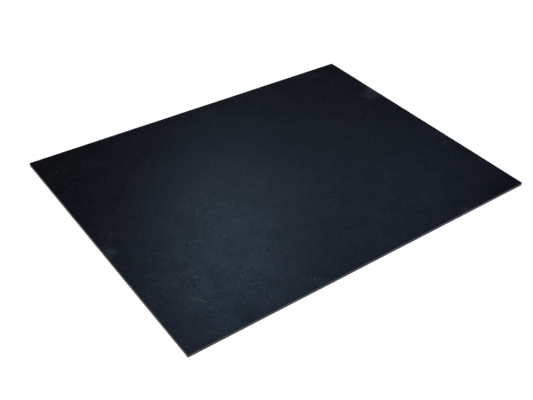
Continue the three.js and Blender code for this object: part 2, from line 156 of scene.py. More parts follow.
# ---- materials ----
class Kit:
    """One material's node tree. Most methods add nodes and return the output to use next."""

    def __init__(self, name, **sockets):
        self.material = bpy.data.materials.new(name)
        self.material.use_nodes = True
        self.tree = self.material.node_tree
        self.shader = self.tree.nodes["Principled BSDF"]
        for socket, value in sockets.items():
            self.set(socket, value)
        self.place = self.tree.nodes.new("ShaderNodeTexCoord").outputs["Object"]

    def set(self, socket, value):
        """Sets or links one of the shader's inputs. Its name has _ where the input's has a space."""
        self.feed(self.shader.inputs[socket.replace("_", " ")], value)

    def feed(self, socket, value):
        if isinstance(value, bpy.types.NodeSocket):
            self.tree.links.new(value, socket)
        elif socket.type == "RGBA" and len(value) == 3:
            socket.default_value = (*value, 1)
        else:
            socket.default_value = value

    def maths(self, operation, a, b=0.0):
        made = self.tree.nodes.new("ShaderNodeMath")
        made.operation = operation
        self.feed(made.inputs[0], a)
        self.feed(made.inputs[1], b)
        return made.outputs[0]

    def product(self, first, *others):
        for other in others:
            first = self.maths("MULTIPLY", first, other)
        return first

    def mix(self, factor, a, b):
        """The colour a, taken towards b by a factor from 0 to 1."""
        made = self.tree.nodes.new("ShaderNodeMix")
        made.data_type = "RGBA"
        for index, value in ((0, factor), (6, a), (7, b)):  # the node's sockets for colours
            self.feed(made.inputs[index], value)
        return made.outputs[2]

    def ramp(self, value, low, high, to_low=0.0, to_high=1.0):
        """value taken smoothly from low..high to to_low..to_high, and held there outside."""
        made = self.tree.nodes.new("ShaderNodeMapRange")
        made.interpolation_type = "SMOOTHSTEP"
        for index, part in enumerate((value, low, high, to_low, to_high)):
            self.feed(made.inputs[index], part)
        return made.outputs[0]

    def moved(self, shift=(0, 0, 0), scale=(1, 1, 1)):
        """Places measured from shift, then scaled."""
        made = self.tree.nodes.new("ShaderNodeMapping")
        made.vector_type = "POINT"
        self.feed(made.inputs["Vector"], self.place)
        made.inputs["Location"].default_value = [-s * k for s, k in zip(shift, scale)]
        made.inputs["Scale"].default_value = scale
        return made.outputs[0]

    def parts(self, vector):
        made = self.tree.nodes.new("ShaderNodeSeparateXYZ")
        self.feed(made.inputs[0], vector)
        return made.outputs

    def length(self, vector):
        made = self.tree.nodes.new("ShaderNodeVectorMath")
        made.operation = "LENGTH"
        self.feed(made.inputs[0], vector)
        return made.outputs["Value"]

    def noise(self, scale, detail=2.0, place=None):
        made = self.tree.nodes.new("ShaderNodeTexNoise")
        made.inputs["Scale"].default_value = scale
        made.inputs["Detail"].default_value = detail
        self.feed(made.inputs["Vector"], place or self.place)
        return made.outputs["Fac"]

    def dots(self, scale, radius, share, place=None):
        """1 in small soft spots, seen from above, in a share of the cells, and 0 elsewhere.

        There are scale cells to the metre, and radius is in metres.
        """
        made = self.tree.nodes.new("ShaderNodeTexVoronoi")
        made.voronoi_dimensions = "2D"
        made.inputs["Scale"].default_value = scale
        self.feed(made.inputs["Vector"], place or self.place)
        near = self.ramp(made.outputs["Distance"], 0.4 * radius * scale, radius * scale, 1.0, 0.0)
        split = self.tree.nodes.new("ShaderNodeSeparateColor")
        self.feed(split.inputs[0], made.outputs["Color"])
        return self.product(near, self.maths("LESS_THAN", split.outputs[0], share))

    def wobbled(self, scale, reach):
        """Places moved by a noise, up to about reach, so that spots come out irregular."""
        noise = self.tree.nodes.new("ShaderNodeTexNoise")
        noise.inputs["Scale"].default_value = scale
        self.feed(noise.inputs["Vector"], self.place)
        push = self.tree.nodes.new("ShaderNodeVectorMath")
        push.operation = "MULTIPLY_ADD"
        self.feed(push.inputs[0], noise.outputs["Color"])
        push.inputs[1].default_value = (4 * reach,) * 3
        self.feed(push.inputs[2], self.place)
        return push.outputs["Vector"]

    def bump(self, height, distance, below=None):
        made = self.tree.nodes.new("ShaderNodeBump")
        made.inputs["Distance"].default_value = distance
        self.feed(made.inputs["Height"], height)
        if below:
            self.feed(made.inputs["Normal"], below)
        return made.outputs[0]


def floor_material():
    """Lit paper: it glows a little itself, so the mat throws only a faint shadow, close in."""
    kit = Kit("floor_paper", Roughness=0.9, Specular_IOR_Level=0.1)
    kit.set("Base_Color", kit.mix(kit.noise(3.0), (0.39, 0.39, 0.39), (0.41, 0.41, 0.41)))
    kit.set("Emission_Color", (1, 1, 1))
    kit.set("Emission_Strength", FLOOR_GLOW)
    return kit.material


RUBBER_DARK, RUBBER_LIGHT = (0.0016, 0.0014, 0.0020), (0.0042, 0.0034, 0.0048)
RUBBER_HUE = (0.0056, 0.0034, 0.0060)
RUBBER_GRAIN = (0.0090, 0.0086, 0.0116)
RUBBER_TINT = (0.64, 0.80, 1.0)  # of its sheen
GRAIN_SCALE, GRAIN_DEPTH = 900.0, 0.00010  # cells to the metre, and metres
COARSE_GRAIN_SCALE, COARSE_GRAIN_DEPTH = 400.0, 0.00011

HANDLED_WIDTH = 0.050  # the band along the edges that shows most handling
SCUFF_INSET = 0.060  # of the scuffed patch, from both sides at the corner that it lies in
SCUFF = SCUFF_INSET - HALF
SCUFF_RADIUS = 0.024
SCRATCH_START = SCUFF + (0.030, -0.045)  # the point that the scratches spread from
SCRATCHES_ACROSS, SCRATCHES_ALONG = 30.0, 22.0  # cells to the radian round it, and to the metre from it

# Spots on the top face: cells to the metre, radius, and the share of the cells that hold one.
PITS, SMALL_PITS = (60.0, 0.0016, 0.12), (130.0, 0.0013, 0.09)
DUST, FINE_DUST = (40.0, 0.0010, 0.05), (170.0, 0.0009, 0.06)
PIT_DEPTH = 0.00012

SHADE_COLOUR = (0.0016, 0.0030, 0.0056)
SMUDGE_COLOUR = (0.0240, 0.0290, 0.0350)
SCRATCH_COLOUR = (0.050, 0.064, 0.076)
PIT_COLOUR = (0.0012, 0.0014, 0.0018)
DUST_COLOUR, FINE_DUST_COLOUR = (0.180, 0.190, 0.200), (0.055, 0.062, 0.070)


def rubber_base(name):
    """Calendered sheet rubber: a fine grain, with slow drifts of tone and of hue.
    """
    kit = Kit(name, Specular_Tint=RUBBER_TINT)
    drift = kit.ramp(kit.noise(9.0, 3.0), 0.35, 0.65)
    colour = kit.mix(drift, RUBBER_DARK, RUBBER_LIGHT)
    hue = kit.ramp(kit.noise(12.0, 4.0, kit.moved((3, 1, 0))), 0.46, 0.56)
    colour = kit.mix(kit.product(hue, 0.5), colour, RUBBER_HUE)
    grain = kit.noise(GRAIN_SCALE, 3.0)
    colour = kit.mix(kit.ramp(grain, 0.42, 0.66, 0.0, 0.9), colour, RUBBER_GRAIN)
    colour = kit.mix(kit.ramp(kit.noise(120.0, 3.0), 0.35, 0.65, 0.45, 0.0), colour, RUBBER_DARK)
    coarse = kit.bump(kit.noise(COARSE_GRAIN_SCALE, 3.0), COARSE_GRAIN_DEPTH)
    return kit, colour, kit.bump(grain, GRAIN_DEPTH, coarse), grain


def nearness_to_edge(kit, reach):
    """1 at the mat's edges, fading to 0 at reach inside them."""
    x, y, _ = kit.parts(kit.place)
    inside = [kit.maths("SUBTRACT", float(half), kit.maths("ABSOLUTE", at)) for half, at in zip(HALF, (x, y))]
    return kit.ramp(kit.maths("MINIMUM", *inside), 0.0, reach, 1.0, 0.0)


def scuff(kit):
    """A fan of fine scratches: thin streaks that spread from a point outside the scuffed patch."""
    around = kit.moved((*SCRATCH_START, 0))
    x, y, _ = kit.parts(around)
    join = kit.tree.nodes.new("ShaderNodeCombineXYZ")
    kit.feed(join.inputs[0], kit.product(kit.maths("ARCTAN2", y, x), SCRATCHES_ACROSS))
    kit.feed(join.inputs[1], kit.product(kit.length(around), SCRATCHES_ALONG))
    streaks = kit.ramp(kit.noise(1.0, 3.0, join.outputs[0]), 0.56, 0.66)
    reach = kit.length(kit.moved((*SCUFF, 0), (1, 1, 0)))
    return kit.product(streaks, kit.ramp(reach, 0.2 * SCUFF_RADIUS, SCUFF_RADIUS, 1.0, 0.0))


def top_rubber():
    """The face that the trays stand on, with smudges, dust, small pits and one scuffed patch."""
    kit, colour, normal, grain = rubber_base("cover_rubber_top")
    near_edge = nearness_to_edge(kit, HANDLED_WIDTH)
    shade = kit.ramp(kit.noise(13.0, 4.0, kit.moved((7, 2, 0))), 0.48, 0.60)
    colour = kit.mix(kit.product(shade, near_edge, 0.55), colour, SHADE_COLOUR)
    cloud = kit.ramp(kit.noise(110.0, 3.0), 0.30, 0.65, 0.3, 1.0)
    smudge = kit.ramp(kit.noise(15.0, 3.0, kit.moved((1, 5, 0))), 0.60, 0.74)
    strength = kit.ramp(near_edge, 0.0, 0.6, 0.14, 0.60)
    colour = kit.mix(kit.product(smudge, cloud, strength), colour, SMUDGE_COLOUR)
    colour = kit.mix(kit.product(scuff(kit), 0.6), colour, SCRATCH_COLOUR)
    uneven = kit.wobbled(500.0, 0.0009)
    pits = kit.maths("MAXIMUM", kit.dots(*PITS, uneven), kit.dots(*SMALL_PITS, uneven))
    spots = ((pits, PIT_COLOUR), (kit.dots(*DUST), DUST_COLOUR), (kit.dots(*FINE_DUST), FINE_DUST_COLOUR))
    for spot, spot_colour in spots:
        colour = kit.mix(kit.product(spot, 0.5), colour, spot_colour)
    kit.set("Base_Color", colour)
    even = kit.ramp(kit.noise(26.0, 4.0), 0.3, 0.7, 0.345, 0.375)
    mottled = kit.maths("ADD", even, kit.ramp(kit.noise(90.0, 4.0), 0.3, 0.7, 0.016, -0.016))
    speckled = kit.maths("ADD", mottled, kit.ramp(grain, 0.3, 0.7, 0.040, -0.040))
    patches = kit.maths("ADD", speckled, kit.product(shade, near_edge, 0.07))
    kit.set("Roughness", kit.maths("ADD", patches, kit.product(pits, 0.07)))
    kit.set("Normal", kit.bump(kit.product(pits, -1.0), PIT_DEPTH, normal))
    return kit.material


def plain_rubber(name):
    """The underside's face: the same rubber, without marks."""
    kit, colour, normal, _ = rubber_base(name)
    kit.set("Base_Color", colour)
    kit.set("Roughness", kit.ramp(kit.noise(34.0, 4.0), 0.3, 0.7, 0.38, 0.48))
    kit.set("Normal", normal)
    return kit.material


def cut_rubber(name):
    """The sheet's cut side: paler than its face, with fine upright drag marks from the blade."""
    kit = Kit(name, Specular_IOR_Level=0.3)
    drag = kit.noise(1.0, 3.0, kit.moved(scale=(700.0, 700.0, 50.0)))
    patches = kit.ramp(kit.noise(30.0, 3.0), 0.3, 0.7)
    colour = kit.mix(patches, (0.0100, 0.0140, 0.0180), (0.0170, 0.0225, 0.0275))
    kit.set("Base_Color", kit.mix(kit.ramp(drag, 0.5, 0.8, 0.0, 0.5), colour, (0.032, 0.039, 0.046)))
    kit.set("Roughness", kit.ramp(patches, 0.0, 1.0, 0.50, 0.64))
    kit.set("Normal", kit.bump(drag, 0.00008))
    return kit.material


def foam():
    """Closed-cell foam rubber: fine cells, some of them open, with a mottled skin."""
    kit = Kit("foam", Roughness=0.95, Specular_IOR_Level=0.2)
    cells = kit.noise(1500.0, 4.0)
    colour = kit.mix(kit.ramp(cells, 0.35, 0.65), (0.20, 0.215, 0.23), (0.33, 0.35, 0.37))
    opened = kit.dots(1600.0, 0.00028, 0.4)
    colour = kit.mix(kit.product(opened, 0.5), colour, (0.12, 0.13, 0.14))
    kit.set("Base_Color", kit.mix(kit.ramp(kit.noise(30.0), 0.3, 0.7, 0.0, 0.3), colour, (0.24, 0.25, 0.26)))
    kit.set("Normal", kit.bump(kit.maths("SUBTRACT", cells, opened), 0.00012))
    return kit.material


def metal(name, dark, light, roughness):
    """Bare sheet or wire metal with faint handling tarnish and drawing lines."""
    kit = Kit(name, Metallic=1.0)
    tarnish = kit.ramp(kit.noise(160.0, 4.0), 0.35, 0.7)
    lines = kit.noise(1.0, 2.0, kit.moved(scale=(60.0, 2600.0, 2600.0)))
    kit.set("Base_Color", kit.mix(tarnish, light, dark))
    kit.set("Roughness", kit.ramp(tarnish, 0.0, 1.0, roughness, roughness + 0.16))
    kit.set("Normal", kit.bump(lines, 0.000006))
    return kit.material


def foil():
    """Aluminium foil with soft creases."""
    kit = Kit("spreader_foil", Metallic=1.0)
    crease = kit.noise(60.0, 5.0)
    kit.set("Base_Color", kit.mix(kit.ramp(crease, 0.4, 0.6), (0.74, 0.75, 0.77), (0.86, 0.87, 0.88)))
    kit.set("Roughness", kit.ramp(kit.noise(200.0), 0.3, 0.7, 0.22, 0.38))
    kit.set("Normal", kit.bump(crease, 0.0008))
    return kit.material


THREAD_SCALE = 160.0  # of the wave texture, which puts the threads about 2 mm apart


def scrim():
    """Woven glass: two crossed sets of fine threads."""
    kit = Kit("glass_scrim", Roughness=0.7)
    threads = []
    for axis in ("X", "Y"):
        made = kit.tree.nodes.new("ShaderNodeTexWave")
        made.bands_direction = axis
        made.inputs["Scale"].default_value = THREAD_SCALE
        kit.feed(made.inputs["Vector"], kit.place)
        threads.append(made.outputs["Fac"])
    weave = kit.maths("MAXIMUM", *threads)
    kit.set("Base_Color", kit.mix(weave, (0.40, 0.39, 0.34), (0.74, 0.72, 0.63)))
    kit.set("Normal", kit.bump(weave, 0.0002))
    return kit.material


def polyester():
    """Clear polyester film with a slight haze."""
    kit = Kit("polyester_film", IOR=1.6)
    haze = kit.noise(25.0, 4.0)
    kit.set("Base_Color", kit.mix(kit.ramp(haze, 0.3, 0.7), (0.55, 0.59, 0.56), (0.68, 0.72, 0.69)))
    kit.set("Roughness", kit.ramp(haze, 0.3, 0.7, 0.12, 0.25))
    return kit.material


def ink():
    """Screen-printed carbon ink."""
    kit = Kit("carbon_ink")
    screen = kit.noise(1400.0, 2.0)
    kit.set("Base_Color", kit.mix(screen, (0.009, 0.009, 0.010), (0.020, 0.020, 0.021)))
    kit.set("Roughness", kit.ramp(kit.noise(80.0), 0.3, 0.7, 0.6, 0.8))
    kit.set("Normal", kit.bump(screen, 0.00003))
    return kit.material


def moulded(name, dark, light, roughness):
    """Moulded or extruded plastic with a fine spark-eroded texture."""
    kit = Kit(name)
    texture = kit.noise(2200.0, 3.0)
    kit.set("Base_Color", kit.mix(kit.noise(140.0, 3.0), dark, light))
    kit.set("Roughness", kit.ramp(texture, 0.3, 0.7, roughness - 0.06, roughness + 0.08))
    kit.set("Normal", kit.bump(texture, 0.00002))
    return kit.material


def ceramic():
    """Unglazed ceramic with a fine speckle."""
    kit = Kit("ceramic")
    speckle = kit.noise(1600.0, 3.0)
    kit.set("Base_Color", kit.mix(kit.ramp(speckle, 0.5, 0.75), (0.76, 0.71, 0.60), (0.60, 0.54, 0.44)))
    kit.set("Roughness", kit.ramp(speckle, 0.3, 0.7, 0.55, 0.7))
    kit.set("Normal", kit.bump(speckle, 0.00003))
    return kit.material


def make_materials():
    """One material for each of the record's slots, and the top face's own."""
    return {
        "cover_rubber": plain_rubber("cover_rubber"),
        "cover_rubber_top": top_rubber(),
        "edge_rubber": cut_rubber("edge_rubber"),
        "foam": foam(),
        "spreader_foil": foil(),
        "glass_scrim": scrim(),
        "polyester_film": polyester(),
        "carbon_ink": ink(),
        "copper": metal("copper", (0.42, 0.19, 0.11), (0.80, 0.43, 0.27), 0.24),
        "inlet_nylon": moulded("inlet_nylon", (0.010, 0.011, 0.012), (0.017, 0.018, 0.020), 0.45),
        "tinned_metal": metal("tinned_metal", (0.42, 0.43, 0.44), (0.70, 0.71, 0.72), 0.26),
        "lead_red": moulded("lead_red", (0.28, 0.022, 0.016), (0.40, 0.035, 0.025), 0.40),
        "lead_black": moulded("lead_black", (0.012, 0.013, 0.015), (0.020, 0.021, 0.024), 0.40),
        "ceramic": ceramic(),
    }


# ---- mesh building ----
SHARP_DEGREES = 35
ROUNDED_DEGREES = 40
FLAT_DEGREES = 1  # faces that turn by less than this are one
WELD = 1e-7  # points nearer than this are one
SLIVER = 1e-6  # edges shorter than this are removed


def smooth(mesh):
    """Smooth shading, with edges sharper than SHARP_DEGREES left crisp."""
    mesh.shade_smooth()
    mesh.set_sharp_from_angle(angle=math.radians(SHARP_DEGREES))


def add_mesh(name, points, faces, *materials):
    """An object from points and faces, with coincident points joined and its faces turned outwards."""
    mesh = bpy.data.meshes.new(name)
    mesh.from_pydata([tuple(p) for p in points], [], faces)
    work = bmesh.new()
    work.from_mesh(mesh)
    bmesh.ops.remove_doubles(work, verts=work.verts, dist=WELD)
    bmesh.ops.recalc_face_normals(work, faces=work.faces)
    work.to_mesh(mesh)
    work.free()
    smooth(mesh)
    for material in materials:
        mesh.materials.append(material)
    made = bpy.data.objects.new(name, mesh)
    bpy.context.scene.collection.objects.link(made)
    return made


def apply_modifiers(piece):
    """Turns the piece's modifiers into its mesh."""
    bpy.context.view_layer.update()
    graph = bpy.context.evaluated_depsgraph_get()
    mesh = bpy.data.meshes.new_from_object(piece.evaluated_get(graph))
    piece.modifiers.clear()
    piece.data = mesh
    smooth(mesh)
    return piece


def combine(piece, other, operation):
    """Joins other to piece, or cuts it out, and removes other."""
    work = piece.modifiers.new("combine", "BOOLEAN")
    work.operation, work.solver, work.object = operation, "EXACT", other
    apply_modifiers(piece)
    bpy.data.objects.remove(other)
    return piece


def rounded(piece, radius, segments=3):
    """Rounds every edge that turns by more than ROUNDED_DEGREES."""
    work = piece.modifiers.new("round", "BEVEL")
    work.width, work.segments = radius, segments
    work.limit_method, work.angle_limit = "ANGLE", math.radians(ROUNDED_DEGREES)
    apply_modifiers(piece)
    work = bmesh.new()
    work.from_mesh(piece.data)
    bmesh.ops.dissolve_degenerate(work, dist=SLIVER, edges=work.edges)
    work.to_mesh(piece.data)
    work.free()
    return piece


def evened(piece):
    """Shades the piece so that its flat faces look flat beside their rounded edges."""
    work = piece.modifiers.new("even", "WEIGHTED_NORMAL")
    work.keep_sharp = True
    return apply_modifiers(piece)


def stand_for(piece, node):
    """Hangs the piece, which is built where the node is, under the root body, and hides the node."""
    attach(piece, "root")
    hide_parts(node)
    return piece


def box_grid(xs, ys, zs):
    """The closed surface of a box, as points and faces, with a grid on every side."""
    lines = (xs, ys, zs)
    number = {}
    points, faces = [], []

    def point(index):
        if index not in number:
            number[index] = len(points)
            points.append([line[i] for line, i in zip(lines, index)])
        return number[index]

    for axis in range(3):
        a, b = (axis + 1) % 3, (axis + 2) % 3
        for layer in (0, len(lines[axis]) - 1):
            for i in range(len(lines[a]) - 1):
                for j in range(len(lines[b]) - 1):
                    face = []
                    for p, q in ((i, j), (i + 1, j), (i + 1, j + 1), (i, j + 1)):
                        index = [0, 0, 0]
                        index[axis], index[a], index[b] = layer, p, q
                        face.append(point(tuple(index)))
                    faces.append(face)
    return np.array(points), faces


def plain_box(name, low, high, *materials):
    points, faces = box_grid(*([a, b] for a, b in zip(low, high)))
    return add_mesh(name, points, faces, *materials)


def loft(rings, closed):
    """Points and faces of a skin over rings of equal size. It closes on itself, or is capped at its ends."""
    count, size = len(rings), len(rings[0])
    faces = []
    for i in range(count if closed else count - 1):
        j = (i + 1) % count
        for k in range(size):
            m = (k + 1) % size
            faces.append([i * size + k, i * size + m, j * size + m, j * size + k])
    if not closed:
        faces += [list(range(size)), list(range((count - 1) * size, count * size))]
    return np.concatenate(rings), faces


AXES = {"X": (1, 2, 0), "Y": (2, 0, 1), "Z": (0, 1, 2)}  # two cross axes, then the turning axis
CRIMP_DEPTH = 0.14 * MM
CRIMP_HALF_LENGTH = 0.9 * MM


def turned(name, profile, axis, centre, material, sides=40, crimps=()):
    """A turned piece. The profile is (radius, place along the axis), closed on itself or on the axis.

    Each crimp is a place along the axis where the outside is pressed in from two sides.
    """
    across, up, along = AXES[axis]
    outer = max(radius for radius, _ in profile)
    angles = np.linspace(0, 2 * math.pi, sides, endpoint=False)
    rings = []
    for radius, place in profile:
        ring = np.tile(np.array(centre, float), (sides, 1))
        reach = np.full(sides, float(radius))
        pressed = crimps if radius > 0.9 * outer else ()
        for crimp in pressed:
            press = max(0.0, 1 - ((place - crimp) / CRIMP_HALF_LENGTH) ** 2)
            reach -= CRIMP_DEPTH * press * np.abs(np.sin(angles)) ** 3
        ring[:, across] += reach * np.cos(angles)
        ring[:, up] += reach * np.sin(angles)
        ring[:, along] += place
        rings.append(ring)
    on_axis = profile[0][0] == 0
    points, faces = loft(rings, closed=not on_axis)
    if on_axis:
        faces = faces[:-2]
    return add_mesh(name, points, faces, material)


def softened(corners, radius, steps=3):
    """A profile with its corners rounded. Corners on the turning axis stay."""
    out = []
    for i, corner in enumerate(corners):
        here = np.array(corner, float)
        if corner[0] == 0:
            out.append(tuple(here))
            continue
        before, after = np.array(corners[i - 1], float), np.array(corners[(i + 1) % len(corners)], float)
        start = here + (before - here) * radius / np.linalg.norm(before - here)
        end = here + (after - here) * radius / np.linalg.norm(after - here)
        for t in np.linspace(0, 1, steps + 1):
            out.append(tuple((1 - t) ** 2 * start + 2 * t * (1 - t) * here + t ** 2 * end))
    return out


def subdivided(profile, step, closed):
    """A profile with extra points, so that none are further apart than step."""
    out = []
    last = len(profile) if closed else len(profile) - 1
    for i in range(last):
        a, b = np.array(profile[i]), np.array(profile[(i + 1) % len(profile)])
        parts = max(1, math.ceil(np.linalg.norm(b - a) / step))
        out += [tuple(a + (b - a) * k / parts) for k in range(parts)]
    return out if closed else out + [profile[-1]]


# ---- rubber: covers and edge strips ----
CORNER_RADIUS = 1.5 * MM
ARRIS_RADIUS = 0.45 * MM  # the softened edge between a cover's face and its cut side
EDGE_OFFSETS = np.array([0, 0.11, 0.22, 0.34, 0.45, 0.75, 1.1, 1.5, 2.6]) * MM  # of the cuts near an edge
SHEET_STEP = 5 * MM
STRIP_LEVELS = 4  # rows of points up the side of an edge strip
FACE_WAVE, FACE_WAVE_LENGTH = 0.08 * MM, 130 * MM  # half of how far the faces dip
CUT_WAVE, CUT_WAVE_LENGTH = 0.05 * MM, 17 * MM  # half of how far the cut sides run in
CUT_WAVE_REACH = 3 * MM  # that wave fades out this far inside the cut sides
SIDEWAYS = 0.35  # a face whose normal rises less than this looks sideways
INLET_FIT, INLET_BOND = 0.3 * MM, 0.02 * MM  # the room round the inlet, beside it and above and below it
BUTT_GAP, HAIRLINE = 0.5 * MM, 0.04 * MM  # strips nearer than the first meet with the second between them


def grid_lines(low, high, step=SHEET_STEP):
    """Places from low to high for cuts across a piece, close together near both ends."""
    even = np.linspace(low, high, max(2, round((high - low) / step) + 1))
    even = even[(even > low + EDGE_OFFSETS[-1]) & (even < high - EDGE_OFFSETS[-1])]
    return np.unique(np.concatenate([low + EDGE_OFFSETS, even, high - EDGE_OFFSETS]))


def grid_depths(low, high, face_z):
    """Heights for cuts through a cover, close together at its outer face."""
    offsets = EDGE_OFFSETS[EDGE_OFFSETS < high - low]
    zs = face_z - offsets if face_z > TOP / 2 else face_z + offsets
    return np.unique(np.concatenate([zs, [low, high]]))


def slow_wave(x, y, length, phase):
    """A smooth irregular wave over the plan, from -1 to 1, with humps about half of length across."""
    u, v = 2 * math.pi * x / length, 2 * math.pi * y / length
    return (np.sin(u + 1.7 * np.sin(0.6 * v + phase)) + np.sin(v * 0.9 + 1.3 * np.sin(0.7 * u - phase))) / 2


def onto_circle(u, v):
    """Takes squares about the origin onto circles. A point's larger side becomes its distance from there."""
    reach = np.maximum(u, v)
    return reach * u / np.hypot(u, v), reach * v / np.hypot(u, v)


def shape_sheet(points, face_z=None):
    """Gives a square-edged piece of the sheet its rounded corners, softened edge and small waviness.

    face_z is the height of the piece's outer face, if it has one, and that face's edge is softened.
    """
    x, y, z = points.T
    plan = np.abs(points[:, :2])
    inset = (HALF - plan).min(1)
    new_inset, height = inset.copy(), z.copy()
    if face_z is not None:
        out = 1.0 if face_z > TOP / 2 else -1.0
        depth = (face_z - z) * out
        near = (inset < ARRIS_RADIUS) & (depth < ARRIS_RADIUS)
        u, v = onto_circle(1 - inset[near] / ARRIS_RADIUS, 1 - depth[near] / ARRIS_RADIUS)
        new_inset[near] = ARRIS_RADIUS * (1 - u)
        height[near] = face_z - out * ARRIS_RADIUS * (1 - v)
        share = np.clip(1 - depth / MM, 0, 1)
        height += share * out * FACE_WAVE * (slow_wave(x, y, FACE_WAVE_LENGTH, out) - 1)
    fade = np.clip(1 - inset / CUT_WAVE_REACH, 0, 1)
    new_inset += fade * CUT_WAVE * (1 + slow_wave(x, y, CUT_WAVE_LENGTH, 0.4))

    side = np.zeros_like(plan)
    side[np.arange(len(side)), (plan - HALF).argmax(1)] = 1
    moved = plan - (new_inset - inset)[:, None] * side
    corner = np.maximum(plan - (HALF - CORNER_RADIUS), 0)
    at_corner = corner.min(1) > 0
    bearing = corner[at_corner] / np.hypot(*corner[at_corner].T)[:, None]
    reach = CORNER_RADIUS - new_inset[at_corner]
    moved[at_corner] = HALF - CORNER_RADIUS + bearing * reach[:, None]
    return np.column_stack([np.sign(points[:, :2]) * moved, height])


def paint_sides(piece):
    """Gives the faces that look sideways, out of the cut edge, the piece's second material."""
    for face in piece.data.polygons:
        face.material_index = int(abs(face.normal.z) < SIDEWAYS)


def cut_inlet(piece):
    """Cuts the room for the inlet out of a cover, right through its side."""
    low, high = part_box("inlet_base")[0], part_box("inlet_lid")[1]
    room = Vector((INLET_FIT, INLET_FIT, INLET_BOND))
    high.x += 2 * INLET_FIT
    combine(piece, plain_box("inlet_tool", low - room, high + room, *piece.data.materials), "DIFFERENCE")


def add_cover(node, face_z, face_material, side_material):
    """A cover whose outer face is at the height face_z."""
    low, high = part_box(node)
    zs = grid_depths(low.z, high.z, face_z)
    points, faces = box_grid(grid_lines(low.x, high.x), grid_lines(low.y, high.y), zs)
    piece = add_mesh(node + "_rubber", shape_sheet(points, face_z), faces, face_material, side_material)
    cut_inlet(piece)
    paint_sides(piece)
    stand_for(piece, node)


def add_edge_strip(node, material):
    """A strip of the border. Where its end butts on the front or back strip, only a hairline is left."""
    low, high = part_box(node)
    front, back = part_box("edge_strip_front")[1].y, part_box("edge_strip_back")[0].y
    if 0 < low.y - front < BUTT_GAP:
        low.y = front + HAIRLINE
    if 0 < back - high.y < BUTT_GAP:
        high.y = back - HAIRLINE
    zs = np.linspace(low.z, high.z, STRIP_LEVELS)
    points, faces = box_grid(grid_lines(low.x, high.x), grid_lines(low.y, high.y), zs)
    piece = add_mesh(node + "_rubber", shape_sheet(points), faces, material)
    stand_for(piece, node)


def add_rubber(materials):
    side = materials["edge_rubber"]
    add_cover("top_cover", TOP, materials["cover_rubber_top"], side)
    add_cover("bottom_cover", 0.0, materials["cover_rubber"], side)
    for node in sorted(frame["nodes"]):
        if node.startswith("edge_strip"):
            add_edge_strip(node, side)


# ---- foam and woven layers ----
FOAM_STEP = 6 * MM
FOAM_ROUNDING, BED_ROUNDING = 0.15 * MM, 0.12 * MM
FOAM_DIP, FOAM_DIP_LENGTH = 0.05 * MM, 61 * MM  # how far its faces dip
FOAM_RAGGED, FOAM_RAGGED_LENGTH = 0.35 * MM, 41 * MM  # how far its cut sides wander
SCRIM_STEP = 4 * MM
SCRIM_THICKNESS = 0.10 * MM
SCRIM_CRIMP = 0.04 * MM  # how far the cloth rises and falls at each crossing


def add_insulation(materials):
    """A slab of foam with dipped faces and slightly ragged cut sides, inside its CAD box."""
    low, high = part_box("insulation_foam")
    steps = [max(2, round((b - a) / FOAM_STEP)) + 1 for a, b in zip(low, high)]
    points, faces = box_grid(*(np.linspace(a, b, n) for a, b, n in zip(low, high, steps)))
    middle, half = np.array((low + high) / 2), np.array((high - low) / 2)
    side = np.sign(points - middle) * (np.abs(points - middle) > half - WELD)
    x, y, _ = points.T
    ragged = FOAM_RAGGED * (1 + slow_wave(x, y, FOAM_RAGGED_LENGTH, 0.9)) / 2
    dip = FOAM_DIP * (1 + slow_wave(x, y, FOAM_DIP_LENGTH, 2.1)) / 2
    points = points - side * np.column_stack([ragged, ragged, dip])
    piece = add_mesh("insulation_foam_slab", points, faces, materials["foam"])
    stand_for(rounded(piece, FOAM_ROUNDING, 2), "insulation_foam")


def copy_of_node(node, name, material):
    """The node's mesh as a new object, with its flat faces whole again."""
    work = bmesh.new()
    work.from_mesh(frame["nodes"][node].data)
    bmesh.ops.remove_doubles(work, verts=work.verts, dist=SLIVER)
    bmesh.ops.dissolve_limit(work, angle_limit=math.radians(FLAT_DEGREES), verts=work.verts, edges=work.edges)
    mesh = bpy.data.meshes.new(name)
    work.to_mesh(mesh)
    work.free()
    mesh.materials.clear()
    mesh.materials.append(material)
    made = bpy.data.objects.new(name, mesh)
    bpy.context.scene.collection.objects.link(made)
    return made


def add_rounded_copy(node, suffix, slot, radius, materials):
    """The node's own shape, with its edges rounded."""
    piece = rounded(copy_of_node(node, node + suffix, materials[slot]), radius, 2)
    return stand_for(evened(piece), node)


def add_wiring_bed(materials):
    """The block of foam that the wiring lies in."""
    piece = add_rounded_copy("wiring_bed", "_block", "foam", BED_ROUNDING, materials)


def add_scrim(materials):
    """The glass cloth: a thin sheet that rises and falls from crossing to crossing."""
    low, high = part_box("glass_scrim")
    middle = (low.z + high.z) / 2
    xs, ys = (np.linspace(low[k], high[k], round((high[k] - low[k]) / SCRIM_STEP) + 1) for k in (0, 1))
    zs = [middle - SCRIM_THICKNESS / 2, middle + SCRIM_THICKNESS / 2]
    points, faces = box_grid(xs, ys, zs)
    crossing = (points[:, :2] - np.array([low.x, low.y])) / SCRIM_STEP
    points[:, 2] += SCRIM_CRIMP * np.cos(math.pi * crossing).prod(1)
    piece = add_mesh("glass_scrim_cloth", points, faces, materials["glass_scrim"])
    stand_for(piece, "glass_scrim")


